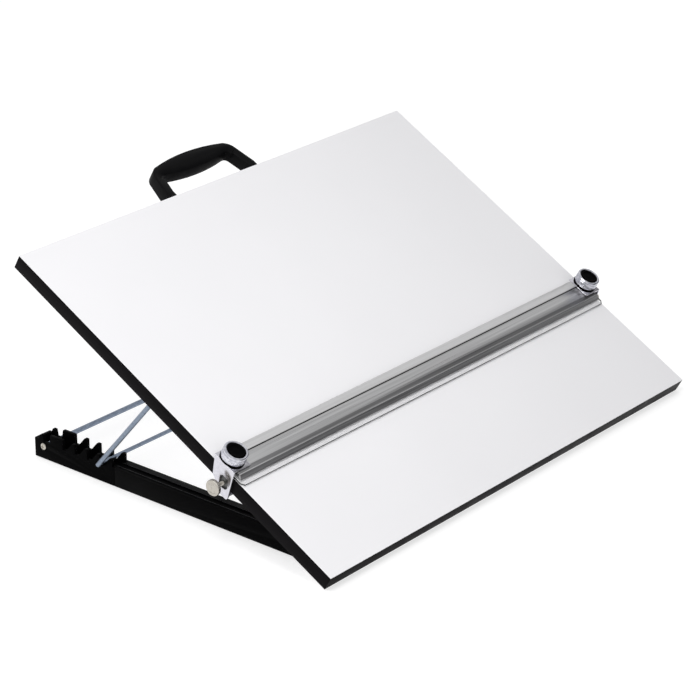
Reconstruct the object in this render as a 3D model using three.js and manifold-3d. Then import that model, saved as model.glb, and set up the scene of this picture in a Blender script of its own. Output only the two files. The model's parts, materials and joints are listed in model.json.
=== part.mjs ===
// Portable drawing board: a white laminated board on two folding rails, propped by a wire
// stand in toothed racks, with a cable-guided parallel bar and a carrying handle.
// Millimetres, +Z up, +Y towards the raised back edge, +X to the drafter's right.

import * as THREE from 'three';
import { mergeVertices } from 'three/addons/utils/BufferGeometryUtils.js';
import Module from 'manifold-3d';

const wasm = await Module();
wasm.setup();

// Driving dimensions

const boardWidth = 660.4;
const boardDepth = 508;
const boardThickness = 18.2;
const laminateThickness = 0.8;
const bandThickness = 1;
const boardTilt = THREE.MathUtils.degToRad(29);
const frontEdgeLift = 0.5;
const fit = 0.3; // gap left between pieces that touch

const railInset = 46.4; // board side to the middle of a rail
const railWidth = 24;
const railBottom = 1;
const railTop = 24;
const railHinge = { y: 65, z: 12, pinRadius: 2.5, earRadius: 7 };
const railNose = 12.5; // rail length in front of its hinge pin
const rackStart = 335;
const railEnd = 461;

const toothFirst = 338.5;
const toothPitch = 19.5;
const toothCount = 5;
const toothTop = 32.8;
const toothLand = 4;
const notchFloor = 21;
const notchLength = 5.3;
const rackWall = 4;

const spreader = { y: 447.1, z: 16.3, radius: 3 };

const propNotch = 1; // index of the tooth that the prop leans on
const propInset = 30.5;
const propArmRadius = 2.9;
const propBarRadius = 2.35;
const propLean = THREE.MathUtils.degToRad(49.5); // arm above the horizontal
const propPivotDrop = 8.5; // pivot below the board's underside

const pulleyInset = 21;
const pulleyRadius = 9.5;
const pulleyGroove = 8.2;
const pulleyHeight = 5;
const cableRadius = 0.6;
const cableDrop = 3.8; // cable below the underside where it runs on the pulleys
const cableCrossing = 1.2; // how far each diagonal rises or dips at the crossing

const barEnd = 2.5;
const barFront = 144.6;
const barBack = 183.8;
const barHeight = 7.7;
const edgeFront = 137.7;
const knobInset = 8.3;
const knobAlong = 168.5;
const screwAlong = 160;
const screwHeight = -15; // thumb screw axis from the drawing surface

const handleHalf = 77;
const handleLeg = 12.5;
const handleReach = 60.5; // grip past the board's back edge
const handleTab = 34; // leg length screwed under the board
const handlePlate = 8;
const handleGrip = 15;

// Finishes

const finishes = {
  laminate: [0xf2f1f3, 0.38, 0],
  edging: [0x1b191c, 0.45, 0],
  core: [0xb08d62, 0.85, 0],
  blackPlastic: [0x0c0c0d, 0.42, 0],
  rubber: [0x141414, 0.9, 0],
  zinc: [0x8b9db2, 0.38, 0.85],
  steel: [0x9a9ca0, 0.35, 0.9],
  blackSteel: [0x17171a, 0.5, 0.6],
  chrome: [0xe4e6ea, 0.12, 1],
  nickel: [0xc9c5bd, 0.25, 1],
  aluminium: [0xb9bbbc, 0.32, 1],
  acrylic: [0xe9ecec, 0.08, 0],
  nylon: [0xe6e4dc, 0.5, 0],
};

// Shape helpers

const axisX = new THREE.Vector3(1, 0, 0);
const axisY = new THREE.Vector3(0, 1, 0);
const axisZ = new THREE.Vector3(0, 0, 1);

function toSolid(geometry) {
  const bare = geometry.clone();
  bare.deleteAttribute('normal');
  bare.deleteAttribute('uv');
  const merged = mergeVertices(bare);
  return new wasm.Manifold(new wasm.Mesh({
    numProp: 3,
    vertProperties: new Float32Array(merged.attributes.position.array),
    triVerts: new Uint32Array(merged.index.array),
  }));
}

function toGeometry(solid) {
  const mesh = solid.getMesh();
  const geometry = new THREE.BufferGeometry();
  geometry.setAttribute('position', new THREE.BufferAttribute(mesh.vertProperties, 3));
  geometry.setIndex(new THREE.BufferAttribute(mesh.triVerts, 1));
  geometry.computeVertexNormals();
  return geometry;
}

function join(first, ...others) {
  return toGeometry(others.reduce((solid, other) => solid.add(toSolid(other)), toSolid(first)));
}

function cut(body, ...tools) {
  return toGeometry(tools.reduce((solid, tool) => solid.subtract(toSolid(tool)), toSolid(body)));
}

function block([x0, x1], [y0, y1], [z0, z1]) {
  const box = new THREE.BoxGeometry(Math.abs(x1 - x0), Math.abs(y1 - y0), Math.abs(z1 - z0));
  return box.translate((x0 + x1) / 2, (y0 + y1) / 2, (z0 + z1) / 2);
}

function outline(points, holes = []) {
  const shape = new THREE.Shape(points.map(([a, b]) => new THREE.Vector2(a, b)));
  for (const hole of holes) {
    shape.holes.push(new THREE.Path(hole.map(([a, b]) => new THREE.Vector2(a, b))));
  }
  return shape;
}

function circle(radius, sides, a = 0, b = 0) {
  return Array.from({ length: sides }, (_, i) => {
    const turn = (2 * Math.PI * i) / sides;
    return [a + radius * Math.cos(turn), b + radius * Math.sin(turn)];
  });
}

function extrude(shape, from, to) {
  const depth = Math.abs(to - from);
  const solid = new THREE.ExtrudeGeometry(shape, { depth, bevelEnabled: false, curveSegments: 8 });
  return solid.translate(0, 0, Math.min(from, to));
}

// Outline in (y, z), swept from one x to another.
function extrudeX(shape, from, to) {
  return extrude(shape, from, to).applyMatrix4(new THREE.Matrix4().makeBasis(axisY, axisZ, axisX));
}

// Outline in (x, z), swept from one y to another.
function extrudeY(shape, from, to) {
  const turn = new THREE.Matrix4().makeBasis(axisX, axisZ, axisY.clone().negate());
  return extrude(shape, -to, -from).applyMatrix4(turn);
}

function rodX(radius, from, to, y, z, sides = 20) {
  const rod = new THREE.CylinderGeometry(radius, radius, Math.abs(to - from), sides);
  return rod.rotateZ(Math.PI / 2).translate((from + to) / 2, y, z);
}

function rodZ(radius, from, to, x, y, sides = 20) {
  const rod = new THREE.CylinderGeometry(radius, radius, Math.abs(to - from), sides);
  return rod.rotateX(Math.PI / 2).translate(x, y, (from + to) / 2);
}

// Profile of [radius, height] pairs turned about the vertical.
function turned(profile, x, y, sides = 28) {
  const points = profile.map(([radius, height]) => new THREE.Vector2(radius, height));
  return new THREE.LatheGeometry(points, sides).rotateX(Math.PI / 2).translate(x, y, 0);
}

// A path that passes through every one of its points, each an equal share of the way.
class PointPath extends THREE.Curve {
  constructor(points) {
    super();
    this.points = points;
  }

  getPoint(share, target = new THREE.Vector3()) {
    const last = this.points.length - 1;
    const place = share * last;
    const before = Math.min(Math.floor(place), last - 1);
    return target.lerpVectors(this.points[before], this.points[before + 1], place - before);
  }

  getPointAt(share, target) {
    return this.getPoint(share, target);
  }

  getTangentAt(share, target = new THREE.Vector3()) {
    const last = this.points.length - 1;
    const place = Math.round(share * last);
    const next = this.points[Math.min(place + 1, last)];
    return target.copy(next).sub(this.points[Math.max(place - 1, 0)]).normalize();
  }
}

function wire(points, radius, sides) {
  return new THREE.ExtrudeGeometry(outline(circle(radius, sides)), {
    steps: points.length - 1,
    extrudePath: new PointPath(points),
  });
}

function piece(name, finish, geometry) {
  const [color, roughness, metalness] = finishes[finish];
  const mesh = new THREE.Mesh(geometry, new THREE.MeshStandardMaterial({ color, roughness, metalness }));
  mesh.name = name;
  return mesh;
}

// Places worked out from the driving dimensions

const sides = [['left', -1], ['right', 1]];
const halfWidth = boardWidth / 2;
const fromEdge = (side, inset) => side * (halfWidth - inset);
const railX = (side) => fromEdge(side, railInset);

// A point at (y, z) above the table, as (along, up) in the tilted board's own frame.
function onBoard(y, z) {
  const height = z - frontEdgeLift;
  return {
    along: y * Math.cos(boardTilt) + height * Math.sin(boardTilt),
    up: height * Math.cos(boardTilt) - y * Math.sin(boardTilt),
  };
}

const hinge = onBoard(railHinge.y, railHinge.z);
const notchFace = toothFirst + propNotch * toothPitch;
const propFoot = { y: notchFace - propBarRadius - fit, z: notchFloor + propBarRadius + fit };
const foot = onBoard(propFoot.y, propFoot.z);
const propSlope = propLean + boardTilt; // arm's angle to the board
const propLength = (-propPivotDrop - foot.up) / Math.sin(propSlope);
const pivot = { along: foot.along - propLength * Math.cos(propSlope), up: -propPivotDrop };

// Board: core, two laminate faces and four edge bands

const coreInset = bandThickness + fit;
const coreBottom = laminateThickness + fit;
const coreTop = boardThickness - laminateThickness - fit;
const bandTop = boardThickness - laminateThickness - fit;
const pulleyScrew = { radius: 2.2, depth: 9 };
const handleScrew = { radius: 2, depth: 10, along: boardDepth - handleTab / 2 };
const handleScrewX = (side) => side * (handleHalf - handleLeg / 2);
const pulleyAlong = { front: pulleyInset, back: boardDepth - pulleyInset };

function screwHoles() {
  const holes = [];
  for (const [, side] of sides) {
    for (const along of Object.values(pulleyAlong)) {
      const radius = pulleyScrew.radius + fit;
      holes.push(rodZ(radius, -1, pulleyScrew.depth + fit, fromEdge(side, pulleyInset), along, 12));
    }
    const radius = handleScrew.radius + fit;
    holes.push(rodZ(radius, -1, handleScrew.depth + fit, handleScrewX(side), handleScrew.along, 12));
  }
  return holes;
}

function boardPieces() {
  const inner = halfWidth - coreInset;
  const across = [-inner, inner];
  const wide = [-halfWidth, halfWidth];
  const along = [coreInset, boardDepth - coreInset];
  const band = [0, bandTop];
  const sideBand = [bandThickness + fit, boardDepth - bandThickness - fit];
  const bottom = [0, laminateThickness];
  return [
    piece('board_core', 'core', cut(block(across, along, [coreBottom, coreTop]), ...screwHoles())),
    piece('top_laminate', 'laminate',
      block(wide, [0, boardDepth], [boardThickness - laminateThickness, boardThickness])),
    piece('bottom_laminate', 'laminate', cut(block(across, along, bottom), ...screwHoles())),
    piece('edge_band_front', 'edging', block(wide, [0, bandThickness], band)),
    piece('edge_band_back', 'edging', block(wide, [boardDepth - bandThickness, boardDepth], band)),
    piece('edge_band_left', 'edging', block([-halfWidth, bandThickness - halfWidth], sideBand, band)),
    piece('edge_band_right', 'edging', block([halfWidth - bandThickness, halfWidth], sideBand, band)),
  ];
}

// Carrying handle: two flat legs screwed under the back edge and a thick arched grip

function handleOutline(from) {
  const leg = handleHalf - handleLeg;
  const start = boardDepth + from;
  const shape = new THREE.Shape();
  shape.moveTo(-handleHalf, start);
  shape.lineTo(-handleHalf, boardDepth + 14);
  shape.lineTo(-handleHalf + 7, boardDepth + 42);
  shape.quadraticCurveTo(-handleHalf + 9, boardDepth + 50, -handleHalf + 18, boardDepth + 54);
  shape.quadraticCurveTo(0, boardDepth + 2 * handleReach - 54, handleHalf - 18, boardDepth + 54);
  shape.quadraticCurveTo(handleHalf - 9, boardDepth + 50, handleHalf - 7, boardDepth + 42);
  shape.lineTo(handleHalf, boardDepth + 14);
  shape.lineTo(handleHalf, start);
  shape.lineTo(leg, start);
  shape.lineTo(leg, boardDepth + 14);
  shape.lineTo(leg - 5, boardDepth + 34);
  shape.quadraticCurveTo(leg - 6.5, boardDepth + 40, leg - 13, boardDepth + 39.5);
  shape.quadraticCurveTo(0, boardDepth + 29, 13 - leg, boardDepth + 39.5);
  shape.quadraticCurveTo(6.5 - leg, boardDepth + 40, 5 - leg, boardDepth + 34);
  shape.lineTo(-leg, boardDepth + 14);
  shape.lineTo(-leg, start);
  return shape;
}

function handlePieces() {
  const top = -fit;
  const bottom = top - handlePlate;
  const holes = sides.map(([, side]) => rodZ(handleScrew.radius + fit, bottom - 1, 0,
    handleScrewX(side), handleScrew.along, 12));
  const legs = extrude(handleOutline(-handleTab), bottom, top);
  const grip = extrude(handleOutline(2), bottom, bottom + handleGrip);
  const pieces = [piece('carry_handle', 'blackPlastic', cut(join(legs, grip), ...holes))];
  for (const [name, side] of sides) {
    const under = bottom - fit;
    pieces.push(piece(`handle_screw_${name}`, 'steel', turned([
      [0, under - 2.2], [3, under - 2.2], [4.5, under - 0.8], [4.5, under],
      [handleScrew.radius, under], [handleScrew.radius, handleScrew.depth - 3], [0, handleScrew.depth],
    ], handleScrewX(side), handleScrew.along, 16)));
  }
  return pieces;
}

// Rail hinges: an eared bracket under the board and a headed pin through ears and rail

const plateThickness = 2;

function hingePieces() {
  const earInside = railWidth / 2 + 0.4;
  const earOutside = earInside + plateThickness;
  const plate = [-fit - plateThickness, -fit];
  const along = [hinge.along - 18, hinge.along + 18];
  const pieces = [];
  for (const [name, side] of sides) {
    const middle = railX(side);
    const ear = [[along[0], plate[0] + 0.5], [along[0], plate[0] - 4]];
    for (let step = 0; step <= 8; step += 1) {
      const turn = Math.PI + (Math.PI * step) / 8;
      const reach = railHinge.earRadius;
      ear.push([hinge.along + reach * Math.cos(turn), hinge.up + reach * Math.sin(turn)]);
    }
    ear.push([along[1], plate[0] - 4], [along[1], plate[0] + 0.5]);
    const hole = circle(railHinge.pinRadius + fit, 16, hinge.along, hinge.up);
    const base = block([middle - earOutside, middle + earOutside], along, plate);
    const ears = [-1, 1].map((way) => extrudeX(outline(ear, [hole]),
      middle + way * earInside, middle + way * earOutside));
    pieces.push(piece(`hinge_bracket_${name}`, 'blackSteel', join(base, ...ears)));

    const shank = rodX(railHinge.pinRadius, middle - earOutside - 1, middle + earOutside + 1,
      hinge.along, hinge.up, 16);
    const heads = [-1, 1].map((way) => rodX(4.2, middle + way * (earOutside + fit),
      middle + way * (earOutside + 1.8), hinge.along, hinge.up, 16));
    pieces.push(piece(`hinge_pin_${name}`, 'steel', join(shank, ...heads)));
  }
  return pieces;
}

// Prop clips: blocks under the board that hold the inward ends of the prop's arms

const clipInset = [35.4, 45.4];

function clipPieces() {
  return sides.map(([name, side]) => {
    const x = clipInset.map((inset) => fromEdge(side, inset));
    const reach = propArmRadius + 4;
    const body = block(x, [pivot.along - 11, pivot.along + 11], [-fit - 3, -fit]);
    const eye = block(x, [pivot.along - reach, pivot.along + reach], [pivot.up - reach + 1, -fit - 2]);
    const bore = rodX(propArmRadius + fit, x[0] - 5, x[1] + 5, pivot.along, pivot.up, 20);
    const across = rodX(propArmRadius + fit, Math.min(...x) - 1, Math.max(...x) + 1, pivot.along, pivot.up);
    return piece(`prop_clip_${name}`, 'blackPlastic', cut(join(body, eye), bore, across));
  });
}

// Cable guide: a pulley and screw at each corner and one crossed cable with a tension spring

const pulleyTop = -cableDrop + pulleyHeight / 2;
const pulleyBottom = -cableDrop - pulleyHeight / 2;

function pulleyPieces(end, name, side) {
  const x = fromEdge(side, pulleyInset);
  const y = pulleyAlong[end];
  const bore = pulleyScrew.radius + 0.35;
  const under = pulleyBottom - fit;
  return [
    piece(`pulley_${end}_${name}`, 'nylon', turned([
      [bore, pulleyBottom], [pulleyRadius, pulleyBottom], [pulleyRadius, -cableDrop - 1.6],
      [pulleyGroove, -cableDrop - 0.5], [pulleyGroove, -cableDrop + 0.5],
      [pulleyRadius, -cableDrop + 1.6], [pulleyRadius, pulleyTop], [bore, pulleyTop], [bore, pulleyBottom],
    ], x, y, 24)),
    piece(`pulley_screw_${end}_${name}`, 'steel', turned([
      [0, under - 2], [3.4, under - 2], [4.6, under - 1], [4.6, under], [pulleyScrew.radius, under],
      [pulleyScrew.radius, pulleyScrew.depth - 3], [0, pulleyScrew.depth],
    ], x, y, 16)),
  ];
}

const cableTurn = pulleyGroove + fit + cableRadius; // cable's radius round a pulley
const centre = { x: 0, y: boardDepth / 2 };

// Where the diagonal through the board's middle touches a corner pulley's cable circle.
function cornerWrap(side, end) {
  const x = fromEdge(side, pulleyInset) - centre.x;
  const y = pulleyAlong[end] - centre.y;
  const away = Math.hypot(x, y);
  const lead = Math.asin(cableTurn / away);
  const toCorner = Math.atan2(y, x);
  const turnSign = Math.sign(x * y);
  const leave = toCorner + turnSign * lead + (turnSign * Math.PI) / 2;
  const outside = side > 0 ? 0 : Math.PI;
  return { outside, leave };
}

function wrapPoints(side, end, steps = 6) {
  const { outside, leave } = cornerWrap(side, end);
  const way = Math.atan2(Math.sin(leave - outside), Math.cos(leave - outside));
  return Array.from({ length: steps + 1 }, (_, i) => {
    const turn = outside + (way * i) / steps;
    return new THREE.Vector3(
      fromEdge(side, pulleyInset) + cableTurn * Math.cos(turn),
      pulleyAlong[end] + cableTurn * Math.sin(turn),
      -cableDrop,
    );
  });
}

// Points between two ends, bowed up or down in the middle so that the diagonals clear.
function between(from, to, bow, steps, start = 0, end = 1) {
  return Array.from({ length: steps + 1 }, (_, i) => {
    const share = start + ((end - start) * i) / steps;
    const point = new THREE.Vector3().lerpVectors(from, to, share);
    point.z += bow * Math.sin(Math.PI * share);
    return point;
  });
}

const springShare = [0.1, 0.145]; // stretch of the second diagonal that the spring takes up
const springRadius = 2.2;
const springWire = 0.45;
const springTurns = 9;

function cablePieces() {
  const backLeft = wrapPoints(-1, 'back');
  const frontRight = wrapPoints(1, 'front');
  const backRight = wrapPoints(1, 'back');
  const frontLeft = wrapPoints(-1, 'front');
  const diagonalFrom = backRight.at(-1);
  const diagonalTo = frontLeft.at(-1);
  const low = (start, end, steps) => between(diagonalFrom, diagonalTo, -cableCrossing, steps, start, end);
  const high = between(backLeft.at(-1), frontRight.at(-1), cableCrossing, 12);
  const route = [
    ...low(springShare[1], 1, 11),
    ...frontLeft.slice(0, -1).reverse(),
    ...backLeft.slice(0, -1),
    ...high,
    ...frontRight.slice(0, -1).reverse(),
    ...backRight.slice(0, -1),
    ...low(0, springShare[0], 2),
  ];

  const [springFrom, springTo] = low(springShare[0], springShare[1], 1);
  const axis = springTo.clone().sub(springFrom);
  const length = axis.length() - 2 * (cableRadius + fit);
  axis.normalize();
  const start = springFrom.clone().addScaledVector(axis, cableRadius + fit);
  const acrossAxis = new THREE.Vector3().crossVectors(axisZ, axis).normalize();
  const upAxis = new THREE.Vector3().crossVectors(axis, acrossAxis);
  const perTurn = 10;
  const coil = Array.from({ length: springTurns * perTurn + 1 }, (_, i) => {
    const turn = (2 * Math.PI * i) / perTurn;
    return start.clone()
      .addScaledVector(axis, springWire + ((length - 2 * springWire) * i) / (springTurns * perTurn))
      .addScaledVector(acrossAxis, springRadius * Math.cos(turn))
      .addScaledVector(upAxis, springRadius * Math.sin(turn));
  });
  return [
    piece('guide_cable', 'steel', wire(route, cableRadius, 6)),
    piece('cable_spring', 'steel', wire(coil, springWire, 5)),
  ];
}

// Rails: a ribbed bar with a tenon for the rack, the toothed rack, pads and cross rod

const padAlong = { front: 78, back: 430 };
const padSize = { x: 16, y: 26, top: 3 };

function padPocket(side, end) {
  const reach = [padSize.x / 2 + fit, padSize.y / 2 + fit];
  const x = railX(side);
  const y = padAlong[end];
  return block([x - reach[0], x + reach[0]], [y - reach[1], y + reach[1]], [-1, padSize.top + fit]);
}

function railPiece(name, side) {
  const half = railWidth / 2;
  const middle = railX(side);
  const section = [
    [-half, railBottom], [half, railBottom], [half, railTop], [3.3, railTop], [3.3, railTop + 0.8],
    [2.1, railTop + 0.8], [2.1, railTop - 1.5], [-6, railTop - 1.5], [-6, railTop + 0.8],
    [-7.2, railTop + 0.8], [-7.2, railTop], [-half, railTop],
  ].map(([x, z]) => [middle - side * x, z]);
  const bar = extrudeY(outline(section), railHinge.y - railNose, rackStart - fit);
  const cheek = half - rackWall - fit;
  const tenon = block([middle - cheek, middle + cheek], [rackStart - 2, rackStart + 17], [8.5, 19]);
  const bore = rodX(railHinge.pinRadius + fit, middle - half - 1, middle + half + 1,
    railHinge.y, railHinge.z, 20);
  return piece(`rail_${name}`, 'blackPlastic', cut(join(bar, tenon), bore, padPocket(side, 'front')));
}

function rackOutline() {
  const points = [[rackStart, railBottom], [railEnd, railBottom], [railEnd, railTop], [455, railTop],
    [452, 30], [448, 30], [446.5, 22], [437.5, 22], [435.5, toothTop]];
  for (let tooth = toothCount - 1; tooth >= 0; tooth -= 1) {
    const face = toothFirst + tooth * toothPitch;
    if (tooth < toothCount - 1) {
      points.push([face + toothPitch - notchLength, notchFloor], [face + toothLand, toothTop]);
    }
    points.push([face, toothTop], [face, tooth > 0 ? notchFloor : railTop]);
  }
  points.push([rackStart, railTop]);
  return outline(points);
}

function rackPiece(name, side) {
  const half = railWidth / 2;
  const middle = railX(side);
  const outer = middle + side * half;
  const body = extrudeX(rackOutline(), middle - half, middle + half);
  const slot = block([middle - half + rackWall, middle + half - rackWall],
    [rackStart - 1, railEnd - rackWall], [8, toothTop + 1]);
  const rodHole = rodX(spreader.radius + fit, middle - side * (half + 1), outer - side * 3.8,
    spreader.y, spreader.z);
  const screwHole = rodX(1.9, outer - side * 5, outer + side, spreader.y, spreader.z, 12);
  return piece(`rack_${name}`, 'blackPlastic', cut(body, slot, rodHole, screwHole, padPocket(side, 'back')));
}

function railPieces() {
  const rodEnd = Math.abs(railX(1)) + railWidth / 2 - 4.1;
  const pieces = [piece('spreader_rod', 'zinc',
    rodX(spreader.radius, -rodEnd, rodEnd, spreader.y, spreader.z, 16))];
  for (const [name, side] of sides) {
    pieces.push(railPiece(name, side), rackPiece(name, side));
    const outer = railX(side) + side * (railWidth / 2);
    const head = rodX(4, outer + side * fit, outer + side * 1.8, spreader.y, spreader.z, 20);
    const shank = rodX(1.6, side * (rodEnd + fit), outer + side, spreader.y, spreader.z, 12);
    pieces.push(piece(`rail_end_screw_${name}`, 'nickel', join(head, shank)));
    for (const end of Object.keys(padAlong)) {
      const x = railX(side);
      const y = padAlong[end];
      pieces.push(piece(`foot_pad_${end}_${name}`, 'rubber',
        block([x - padSize.x / 2, x + padSize.x / 2], [y - padSize.y / 2, y + padSize.y / 2],
          [0, padSize.top])));
    }
  }
  return pieces;
}

// Prop: two arms with ends bent inwards into the clips, welded to a crossbar in the notches

function propPieces() {
  const lean = new THREE.Vector3(0, -Math.cos(propSlope), Math.sin(propSlope));
  const bend = 5;
  const pieces = [];
  for (const [name, side] of sides) {
    const x = fromEdge(side, propInset);
    const footEnd = new THREE.Vector3(x, foot.along, foot.up).addScaledVector(lean, -propBarRadius);
    const top = new THREE.Vector3(x, pivot.along, pivot.up);
    const inward = new THREE.Vector3(-side, 0, 0);
    const arc = new THREE.QuadraticBezierCurve3(
      top.clone().addScaledVector(lean, -bend), top, top.clone().addScaledVector(inward, bend));
    const tail = top.clone().addScaledVector(inward, clipInset[1] - propInset + 3);
    const path = [footEnd, ...arc.getPoints(6), tail];
    pieces.push(piece(`prop_arm_${name}`, 'zinc', wire(path, propArmRadius, 12)));
  }
  const end = fromEdge(1, propInset) - propArmRadius - fit;
  pieces.push(piece('prop_crossbar', 'zinc', rodX(propBarRadius, -end, end, foot.along, foot.up, 14)));
  return pieces;
}

// Parallel bar: aluminium extrusion, clear ruling edge, end brackets, knobs and side screws

const surface = boardThickness;

function barPieces() {
  const clearTop = 2.4;
  const section = [
    [barFront + 13, 0.8], [162, 0.8], [162, 4.6], [172, 4.6], [178.8, 2.4], [178.8, 0.8],
    [barBack, 0.8], [barBack, 2.2], [172.4, 7], [171.3, 7.3], [171.2, 5.6], [169.9, 5.6],
    [169.7, barHeight], [154.7, barHeight], [151.2, 6.5], [150.3, 6.5], [149.8, 7.4], [148.6, 7.2],
    [145.4, 3.4], [barFront, clearTop + fit], [barFront + 13, clearTop + fit],
  ].map(([along, up]) => [along, surface + up]);
  const reach = halfWidth - barEnd;
  const holes = sides.map(([, side]) => rodZ(3.4, surface, surface + barHeight + 2,
    fromEdge(side, knobInset), knobAlong));
  const chamfer = 4;
  const tip = halfWidth + 1;
  const strip = outline([
    [-tip, barFront + 12.6], [-tip, edgeFront + chamfer], [chamfer - tip, edgeFront],
    [tip - chamfer, edgeFront], [tip, edgeFront + chamfer], [tip, barFront + 12.6],
  ]);
  return [
    piece('parallel_bar', 'aluminium', cut(extrudeX(outline(section), -reach, reach), ...holes)),
    piece('clear_edge', 'acrylic', extrude(strip, surface + 0.6, surface + clearTop)),
  ];
}

const bracketSheet = 1.8;
const bracketGap = 2.6; // board side to the bracket's side plate
const plateTop = 9.9; // top of the plate over the bar, from the drawing surface
const lipTop = -25.2; // under-board lip, from the drawing surface
const lipReach = 17;
const cableInset = pulleyInset - cableTurn;

function bracketPieces(name, side) {
  const outside = fromEdge(side, -bracketGap - bracketSheet);
  const inside = fromEdge(side, -bracketGap);
  const lift = ([along, up]) => [along, surface + up];
  const plate = [
    [183, plateTop], [152.5, plateTop], [145.2, -24], [146.4, -26.6], [150, -27], [161, -27],
    [165.5, -24.5], [169, -17], [174.5, -13.5],
  ].map(lift);
  const window = [
    [163, -4.2], [155.5, -4.6], [152.6, -7.5], [151.2, -14.5], [152.8, -17.4], [158, -18.6],
    [163.4, -16.5], [165.6, -7],
  ].map(lift);
  const sheet = extrudeX(outline(plate, [window]), outside, inside);
  const top = block([outside, fromEdge(side, 22)], [152.5, 183],
    [surface + plateTop - bracketSheet, surface + plateTop]);
  const lip = block([outside, fromEdge(side, lipReach)], [148, 161],
    [surface + lipTop - bracketSheet, surface + lipTop]);
  const studHole = rodZ(3.4, surface + 8, surface + 10, fromEdge(side, knobInset), knobAlong);
  const nutPlate = outline([[167.2, -2.5], [150.6, -2.5], [148.6, -20.5], [165.4, -20.5]].map(lift),
    [circle(2.75, 16, screwAlong, surface + screwHeight)]);
  const cableX = fromEdge(side, cableInset);
  const clamp = block([cableX - 4.5, cableX + 4.5], [149, 160], [surface + lipTop + fit, -1]);
  const cableHole = new THREE.CylinderGeometry(cableRadius + 0.35, cableRadius + 0.35, 20, 10)
    .translate(cableX, 155, -cableDrop);
  return [
    piece(`end_bracket_${name}`, 'chrome', cut(join(sheet, top, lip), studHole)),
    piece(`nut_plate_${name}`, 'steel',
      extrudeX(nutPlate, fromEdge(side, -bracketGap + fit), fromEdge(side, -0.6))),
    piece(`cable_clamp_${name}`, 'steel', cut(clamp, cableHole)),
  ];
}

function knobPieces(name, side) {
  const x = fromEdge(side, knobInset);
  const raise = (profile) => profile.map(([radius, up]) => [radius, surface + up]);
  return [
    piece(`knob_washer_${name}`, 'blackPlastic', turned(raise([
      [3.5, 10.2], [14.4, 10.2], [14.4, 11.5], [3.5, 11.5], [3.5, 10.2],
    ]), x, knobAlong)),
    piece(`knob_body_${name}`, 'chrome', turned(raise([
      [3.4, 11.8], [13.2, 11.8], [14, 12.8], [14.2, 19.6], [13.6, 20], [13.6, 20.7], [14.2, 21.1],
      [14, 22.6], [13.3, 23.2], [11.4, 23.2], [11, 22.6], [11, 17.4], [3.4, 17.4], [3.4, 11.8],
    ]), x, knobAlong, 32)),
    piece(`knob_insert_${name}`, 'blackPlastic', turned(raise([
      [0, 17.7], [10.7, 17.7], [10.7, 22.4], [9.6, 23.1], [6, 23.5], [0, 23.7],
    ]), x, knobAlong)),
    piece(`knob_stud_${name}`, 'steel', turned(raise([
      [0, 0.6], [4.5, 0.6], [4.5, 2.2], [3, 2.2], [3, 17.2], [0, 17.2],
    ]), x, knobAlong, 20)),
  ];
}

function thumbScrew(name, side) {
  const screw = turned([
    [0, 0], [8.4, 0], [9.3, 0.9], [9.3, 4.1], [8.4, 5], [5, 5], [4.6, 7.4], [2.4, 7.4], [2.4, 18.5], [0, 18.5],
  ], 0, 0);
  screw.rotateY(-side * (Math.PI / 2));
  screw.translate(fromEdge(side, -19), screwAlong, surface + screwHeight);
  return piece(`thumb_screw_${name}`, 'nickel', screw);
}

// Assembly

const drawingBoard = new THREE.Group();
const stand = new THREE.Group();
const tilted = new THREE.Group();
stand.add(...railPieces());
tilted.position.z = frontEdgeLift;
tilted.rotation.x = boardTilt;
tilted.add(...boardPieces(), ...handlePieces(), ...hingePieces(), ...clipPieces(), ...cablePieces());
tilted.add(...propPieces(), ...barPieces());
for (const [name, side] of sides) {
  for (const end of Object.keys(pulleyAlong)) {
    tilted.add(...pulleyPieces(end, name, side));
  }
  tilted.add(...bracketPieces(name, side), ...knobPieces(name, side), thumbScrew(name, side));
}
drawingBoard.add(stand, tilted);

// The origin goes on the table, under the middle of the whole object.
drawingBoard.updateMatrixWorld(true);
const extent = new THREE.Box3().setFromObject(drawingBoard, true);
drawingBoard.position.y = -(extent.min.y + extent.max.y) / 2;

export default drawingBoard;
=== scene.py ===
# Portable drawing board on folding toothed rails: the looks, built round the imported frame
import json
import math
import bpy
from mathutils import Matrix, Vector


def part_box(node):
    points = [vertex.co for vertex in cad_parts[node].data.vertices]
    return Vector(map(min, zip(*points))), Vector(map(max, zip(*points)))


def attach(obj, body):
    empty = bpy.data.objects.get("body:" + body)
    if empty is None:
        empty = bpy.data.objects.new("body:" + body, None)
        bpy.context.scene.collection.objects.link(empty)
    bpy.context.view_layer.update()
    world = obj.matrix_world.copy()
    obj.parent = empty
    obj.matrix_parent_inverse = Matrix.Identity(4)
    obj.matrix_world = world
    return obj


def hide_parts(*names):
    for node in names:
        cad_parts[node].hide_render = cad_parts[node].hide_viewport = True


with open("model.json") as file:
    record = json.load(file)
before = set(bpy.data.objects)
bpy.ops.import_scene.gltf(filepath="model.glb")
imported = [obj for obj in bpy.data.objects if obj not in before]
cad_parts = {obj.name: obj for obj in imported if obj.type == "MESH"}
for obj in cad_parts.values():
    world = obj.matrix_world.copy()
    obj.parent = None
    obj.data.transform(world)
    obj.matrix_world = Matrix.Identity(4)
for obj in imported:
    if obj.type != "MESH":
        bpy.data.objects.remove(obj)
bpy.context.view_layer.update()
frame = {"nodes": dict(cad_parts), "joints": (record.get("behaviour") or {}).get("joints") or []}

mm = 0.001
joints = {joint["name"]: joint for joint in frame["joints"]}
slope = Vector(joints["bar_slide"]["axis"])  # up the tilted board
boardTurn = Matrix.Rotation(math.atan2(slope.z, slope.y), 4, "X")
sides = {"left": -1, "right": 1}
up = Vector((0, 0, 1))
weld = 0.002 * mm  # points closer than this are one
flatAngle = math.radians(0.4)  # faces that meet flatter than this are one


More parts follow.
